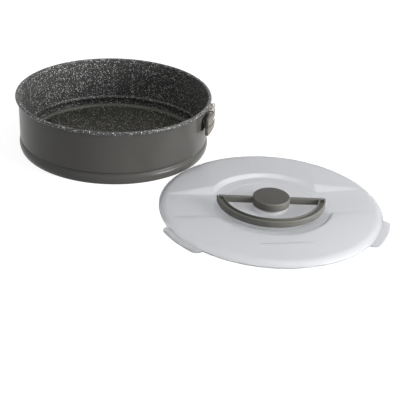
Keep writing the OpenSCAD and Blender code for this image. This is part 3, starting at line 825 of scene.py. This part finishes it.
def lidRings(facts, angles):
    # Rings of (radius, height), one number or one for each angle: outer face, edge with its tabs, inner face
    r, wall, shoulderW, shoulderR = facts["r"], facts["wall"], facts["shoulderW"], facts["shoulderR"]
    foot, top = facts["recessFoot"], facts["recessFoot"] + facts["recessSlope"]
    cos, sin = np.cos(angles), np.sin(angles)
    # The rings are closer together at the boss, the ledge, the recess's side and the shoulder
    outerR = np.concatenate([
        [facts["holeR"], 14, 19.8], np.linspace(20.4, 23.4, 6), [26, 32, 38, 44, 50, 55, 58],
        np.linspace(59.4, 62.4, 8), [64.5, 67.5, 70.5], np.linspace(72.6, top + 1.2, 18),
        np.linspace(top + 2.4, r - shoulderW, 38), np.linspace(r - shoulderW + 0.8, r, 15)])
    rows = [(radius, lidTop(facts, radius * cos, radius * sin)) for radius in outerR]
    rows.append((r, rows[-1][1] - 0.5))
    # The tabs' upper face outwards, their rounded rim, and the lid's foot
    reach = tabReach(facts, angles)
    rows += [(r + reach * share, wall + drop)
             for share, drop in ((0.0, 0.35), (0.04, 0.12), (0.2, 0.06), (0.6, 0.03))]
    rows += [(r + reach - inset, z)
             for inset, z in ((0.45, wall), (0.12, wall - 0.14), (0, wall - 0.45), (0, 0.4), (0.12, 0.12), (0.4, 0))]
    innerEdge = facts["shoulderZ"] - shoulderR + math.sqrt((shoulderR - wall) ** 2 - (shoulderW - wall) ** 2)
    rows += [(r - 0.8, 0), (r - wall + 0.3, 0), (r - wall, 0.3), (r - wall, innerEdge)]
    innerR = np.concatenate([
        np.linspace(r - wall - 0.5, r - shoulderW, 10), np.linspace(r - shoulderW - 3, top + 3, 18),
        np.linspace(top + 2, foot - 0.6, 12), [71, 66], np.linspace(62.7, 59.7, 6), [54, 46, 37, 29],
        np.linspace(24.4, 20.8, 6), [15, 10, facts["holeR"]]])
    step = facts["slopeStep"]
    for radius in innerR:
        x, y = radius * cos, radius * sin
        here = lidTop(facts, x, y)
        slopeX = (lidTop(facts, x + step, y) - here) / step
        slopeY = (lidTop(facts, x, y + step) - here) / step
        steep = np.sqrt(1 + slopeX ** 2 + slopeY ** 2)
        rows.append((radius, here - wall * np.minimum(steep, facts["steepest"])))
    return rows


def ribBar(facts):
    # The fine rib on the lid's top, as a bar with a rounded back
    bottom = float(lidProfile(facts, facts["ribOut"])) - facts["ribH"]
    section = [(facts["ribW"] * math.cos(a) / 2 - facts["ribOut"], bottom + 2 * facts["ribH"] * math.sin(a))
               for a in np.linspace(0, math.pi, facts["ribSteps"] + 1)]
    return prismAlongX(section, -facts["ribLen"] / 2, facts["ribLen"] / 2)


def placeOnLid(verts, turn):
    # From the lid's own frame in mm to the row frame in metres
    angle = math.radians(turn)
    return [(lidCentre.x + (x * math.cos(angle) - y * math.sin(angle)) * mm,
             lidCentre.y + (x * math.sin(angle) + y * math.cos(angle)) * mm, z * mm) for x, y, z in verts]


def makeLid():
    facts = lid
    angles = lidAngles(facts)
    rows = lidRings(facts, angles)
    count = len(angles)
    verts, faces = [], []
    for radius, z in rows:
        verts += list(zip(radius * np.cos(angles), radius * np.sin(angles), z + np.zeros(count)))
    for i in range(len(rows)):
        a, b = i * count, ((i + 1) % len(rows)) * count
        faces += [(a + k, b + k, b + (k + 1) % count, a + (k + 1) % count) for k in range(count)]
    ribVerts, ribFaces = ribBar(facts)
    faces += [tuple(len(verts) + k for k in face) for face in ribFaces]
    verts += ribVerts
    shell = closedPiece("lidShell", placeOnLid(verts, facts["turn"]), faces)
    smoothShade(shell, 55)
    dress(shell, lidPlastic)
    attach(shell, "tin_and_lid")
    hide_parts("lid_shell")
    print("lid rings", len(rows), "points round", count, "faces", len(faces))


makeLid()


# Hub: a turned knob with a bevelled top and two holes for the handle's pegs

hub = {
    "r": 23.5,
    "bottomZ": 6.9,
    "topZ": 16.7,
    "bevel": 1.2,
    "soft": 0.5,
    "stemR": 6,
    "stemZ": 4.7,
    "stemSoft": (0.4, 0.3),
    "shadedTopFrom": 0.98,     # upward part of a normal from which a face of the top gets the painted shade
    "turn": 2.2,
    "steps": 128,
}
handle = {
    "r": 68.8,
    "back": 7,
    "width": 8.8,
    "height": 8.6,
    "axisZ": 11.0,
    "corner": 1.1,
    "cornerIn": 0.7,     # the inner corners' radius as a share of the outer ones'
    "lip": 1.3,
    "grooveW": 5.7,
    "grooveD": 3.1,
    "grooveEdge": 0.35,
    "grooveDraft": 0.3,
    "endRound": 1.2,     # length over which the arc's ends are rounded, mm
    "endInset": 0.2,     # share of the section that they lose
    "bar": 4,
    "barStart": 23.9,
    "barPast": 1.5,      # how far the bars run into the arc, mm
    "barEdge": 0.7,
    "pegR": 2,
    "pegLen": 6.5,
    "pegClear": 0.06,
    "pegSteps": 32,
    "steps": 300,
}


def pegRod(name, x0, x1, radius):
    # A round bar on the handle's axis
    x0, x1 = sorted((x0, x1))
    verts, faces = latheMesh([(0, x0), (radius, x0), (radius, x1), (0, x1)], handle["pegSteps"])
    verts = [(v[2], v[0], v[1] + handle["axisZ"]) for v in verts]
    return closedPiece(name, placeOnLid(verts, hub["turn"]), faces)


def cutOrJoin(piece, others, operation):
    for other in others:
        modifier = piece.modifiers.new("join", "BOOLEAN")
        modifier.operation = operation
        modifier.solver = "EXACT"
        modifier.object = other
    bakeModifiers(piece)
    for other in others:
        bpy.data.objects.remove(other)


def makeHub():
    facts = hub
    r, stemR, bottomZ, topZ = facts["r"], facts["stemR"], facts["bottomZ"], facts["topZ"]
    soft, bevel, (stemEdge, stemFillet) = facts["soft"], facts["bevel"], facts["stemSoft"]
    corners = [(0, facts["stemZ"], 0), (stemR, facts["stemZ"], stemEdge), (stemR, bottomZ, stemFillet),
               (r, bottomZ, soft), (r, topZ - bevel, soft), (r - bevel, topZ, soft), (0, topZ, 0)]
    outline = [(p.x, p.y) for p in filletLoop(corners)]
    verts, faces = latheMesh(outline, facts["steps"])
    knob = closedPiece("hubKnob", placeOnLid(verts, facts["turn"]), faces)
    holes = [pegRod("pegHole", side * (r - handle["pegLen"]), side * (r + 1), handle["pegR"] + handle["pegClear"])
             for side in (-1, 1)]
    cutOrJoin(knob, holes, "DIFFERENCE")
    smoothShade(knob, 35)
    dress(knob, gripPlastic, hubTopShade)
    # Faces of the flat top get the darker tone, a painted shade
    for face in knob.data.polygons:
        if face.normal.z > facts["shadedTopFrom"] and face.center.z > (topZ - bevel) * mm:
            face.material_index = 1
    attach(knob, "lid_hub")
    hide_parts("hub")


makeHub()
print("hub turned")


# Handle: an arc with a grooved section, closed by a bar that is pivoted in the hub

def handleSection(facts):
    half, corner = facts["height"] / 2, facts["corner"]
    inner, outer = -facts["width"] / 2, facts["width"] / 2
    grooveIn = inner + facts["lip"]
    grooveOut = grooveIn + facts["grooveW"]
    edge, draft, bottom = facts["grooveEdge"], facts["grooveDraft"], half - facts["grooveD"]
    upper = [(inner, half, corner * facts["cornerIn"]), (grooveIn, half, edge), (grooveIn + draft, bottom, edge),
             (grooveOut - draft, bottom, edge), (grooveOut, half, edge), (outer, half, corner)]
    lower = [(x, -y, r) for x, y, r in upper[::-1]]
    return [(p.x * mm, p.y * mm) for p in filletLoop(upper + lower, 4)]


def makeHandle():
    facts = handle
    middle = facts["r"] - facts["width"] / 2
    lift = math.asin((facts["back"] - facts["bar"] / 2) / middle)
    grip = sweptPiece("carryHandle", handleSection(facts), {
        "Path Radius": middle * mm, "Start Angle": math.pi + lift, "Sweep Angle": math.pi - 2 * lift,
        "Steps": facts["steps"], "End Round": facts["endRound"] * mm, "End Inset": facts["endInset"],
        "Finish": gripPlastic, "Inner Finish": gripPlastic, "Rim Height": 0.0})
    turn = Matrix.Rotation(math.radians(hub["turn"]), 4, "Z")
    place = Matrix.Translation((lidCentre.x, lidCentre.y, facts["axisZ"] * mm)) @ turn
    grip.data.transform(place @ Matrix.Translation((0, facts["back"] * mm, 0)))
    parts = []
    x0, x1 = facts["barStart"], middle + facts["barPast"]
    half, depth, edge = facts["height"] / 2, facts["bar"] / 2, facts["barEdge"]
    loop = filletLoop([(-depth, -half, edge), (depth, -half, edge), (depth, half, edge), (-depth, half, edge)], 3)
    for side in (-1, 1):
        verts, faces = prismAlongX([(p.x, p.y + facts["axisZ"]) for p in loop], side * x0, side * x1)
        parts.append(closedPiece("bar", placeOnLid(verts, hub["turn"]), faces))
        parts.append(pegRod("peg", side * (x0 - facts["pegLen"]), side * (x0 + 1), facts["pegR"]))
    cutOrJoin(grip, parts, "UNION")
    smoothShade(grip, 40)
    dress(grip, gripPlastic)
    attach(grip, "lid_handle")
    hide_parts("handle")


makeHandle()
print("handle swept and joined")


# Rivets: one domed rivet, set on points by a tree

rivet = {
    "shankR": 1.4,
    "headR": 2.5,
    "headT": 0.8,
    "inside": 129.1,      # from the tin's axis to the inner head's face, mm
    "outside": 132.6,
    "height": 51.5,
    "hingeAngles": (-14.38, -17.45),
    "catchAngle": 3.26,
    "catchHalf": 3.5,
    "domeSteps": 6,
    "steps": 28,
}


def rivetTree():
    tree = newTree("rivetsOnPoints", [("Rivet", "Object"), ("Finish", "Material")])
    given = addNode(tree, "NodeGroupInput").outputs
    shape = addNode(tree, "GeometryNodeObjectInfo", links={"Object": given["Rivet"]}, transform_space="ORIGINAL")
    where = addNode(tree, "GeometryNodeInputPosition")
    flat = addNode(tree, "ShaderNodeVectorMath", {1: (1, 1, 0)}, {0: where}, operation="MULTIPLY")
    aim = addNode(tree, "FunctionNodeAlignRotationToVector", links={"Vector": flat}, axis="Z")
    dots = addNode(tree, "GeometryNodeMeshToPoints", links={0: given["Geometry"]})
    placed = addNode(tree, "GeometryNodeInstanceOnPoints",
                     links={"Points": dots, "Instance": shape.outputs["Geometry"], "Rotation": aim})
    real = addNode(tree, "GeometryNodeRealizeInstances", links={0: placed})
    finish = addNode(tree, "GeometryNodeSetMaterial", links={"Geometry": real, "Material": given["Finish"]})
    addNode(tree, "NodeGroupOutput", links={0: finish})
    return tree


def makeRivets():
    facts = rivet
    long = facts["outside"] - facts["inside"]
    dome = [(facts["headR"] * math.cos(a), facts["headT"] * math.sin(a))
            for a in np.linspace(0, math.pi / 2, facts["domeSteps"] + 1)]
    outline = [(r, -z + facts["headT"]) for r, z in dome[::-1]]
    outline += [(facts["shankR"], facts["headT"]), (facts["shankR"], long - facts["headT"])]
    outline += [(r, long - facts["headT"] + z) for r, z in dome]
    verts, faces = latheMesh([(r * mm, z * mm) for r, z in outline], facts["steps"])
    single = closedPiece("rivetShape", verts, faces)
    spots = [(math.radians(a), facts["height"]) for a in facts["hingeAngles"]]
    spots += [(math.radians(facts["catchAngle"]), facts["height"] + s * facts["catchHalf"]) for s in (-1, 1)]
    start = facts["inside"] * mm
    row = newPiece("bracketRivets", [(start * math.cos(a), start * math.sin(a), z * mm) for a, z in spots])
    runTree(row, rivetTree(), {"Rivet": single, "Finish": coatOutside})
    bpy.data.objects.remove(single)
    smoothShade(row, 40)
    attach(row, "tin_and_lid")
    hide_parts("hinge_bracket_rivets", "catch_bracket_rivets")


makeRivets()
print("rivets set")


# Latch: stamped pieces, copied from the frame with their edges broken

# Each node's own piece, its body and the width of its broken edges in mm
latch = {
    "hinge_bracket": ("hingeBracket", "tin_and_lid", 0.14),
    "catch_bracket": ("catchBracket", "tin_and_lid", 0.14),
    "lever_pivots": ("leverPivots", "tin_and_lid", 0.12),
    "catch_pin": ("catchPin", "tin_and_lid", 0.12),
    "lever": ("latchLever", "latch_lever", 0.16),
    "link_pin": ("linkPin", "latch_lever", 0.05),
    "link": ("latchLink", "latch_link", 0.2),
}
latchFacts = {
    "weld": 0.002,      # points nearer to each other than this are one, mm
    "flat": 1,          # faces that meet at less than this many degrees are one
    "brokenFrom": 40,   # edges from this many degrees are broken
    "bareFrom": -9.4,   # direction where the hinge bracket's bare ears end, degrees
    "slitFrom": -21.5,  # slit along the lever's pressed groove, degrees
    "slitTo": -15.9,
    "slitIn": 138.2,    # from the tin's axis, mm
    "slitOut": 142,
    "slitW": 1.6,
    "slitZ": 51.5,
    "slitSteps": 12,
}


def brokenEdgeCopy(nodeName, name, bevel):
    facts = latchFacts
    shell = bmesh.new()
    shell.from_mesh(frame["nodes"][nodeName].data)
    bmesh.ops.remove_doubles(shell, verts=shell.verts, dist=facts["weld"] * mm)
    bmesh.ops.dissolve_limit(shell, angle_limit=math.radians(facts["flat"]), verts=shell.verts, edges=shell.edges)
    mesh = bpy.data.meshes.new(name)
    shell.to_mesh(mesh)
    shell.free()
    piece = newObject(name, mesh)
    modifier = piece.modifiers.new("bevel", "BEVEL")
    modifier.width = bevel * mm
    modifier.segments = 2
    modifier.limit_method = "ANGLE"
    modifier.angle_limit = math.radians(facts["brokenFrom"])
    modifier.use_clamp_overlap = True
    bakeModifiers(piece)
    return piece


def paintTongueShade(piece):
    # The hinge bracket's riveted tongue gets a near-black coat, a painted shade for the dark gap behind the lever; its
    # ears stay bare
    piece.data.materials.append(tongueShadeCoat)
    for face in piece.data.polygons:
        x, y = face.center.xy
        if math.degrees(math.atan2(y, x)) < latchFacts["bareFrom"]:
            face.material_index = 1


def slitCutter(facts):
    # A bar with a square section, bent round the tin's axis
    verts, faces, steps = [], [], facts["slitSteps"]
    for k in range(steps + 1):
        turn = math.radians(facts["slitFrom"] + (facts["slitTo"] - facts["slitFrom"]) * k / steps)
        for radius, up in (("slitIn", -1), ("slitOut", -1), ("slitOut", 1), ("slitIn", 1)):
            verts.append((math.cos(turn) * facts[radius], math.sin(turn) * facts[radius],
                          facts["slitZ"] + up * facts["slitW"] / 2))
    for k in range(steps):
        faces += [(4 * k + j, 4 * k + (j + 1) % 4, 4 * k + 4 + (j + 1) % 4, 4 * k + 4 + j) for j in range(4)]
    faces += [(3, 2, 1, 0), tuple(4 * steps + j for j in range(4))]
    return closedPiece("slitCutter", [Vector(v) * mm for v in verts], faces)


for nodeName, (name, body, bevel) in latch.items():
    piece = brokenEdgeCopy(nodeName, name, bevel)
    if nodeName == "lever":
        cutOrJoin(piece, [slitCutter(latchFacts)], "DIFFERENCE")
    smoothShade(piece, 35)
    # The lever and link take the darker tone (painted shade), the other pieces the lighter one (painted highlight)
    dress(piece, leverSteelShaded if nodeName in ("lever", "link") else bracketSteelLit)
    if nodeName == "hinge_bracket":
        paintTongueShade(piece)
    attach(piece, body)
    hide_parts(nodeName)
print("latch pieces finished")

for nodeName in ("hub_washer", "hub_screw"):
    dress(frame["nodes"][nodeName], screwSteel)
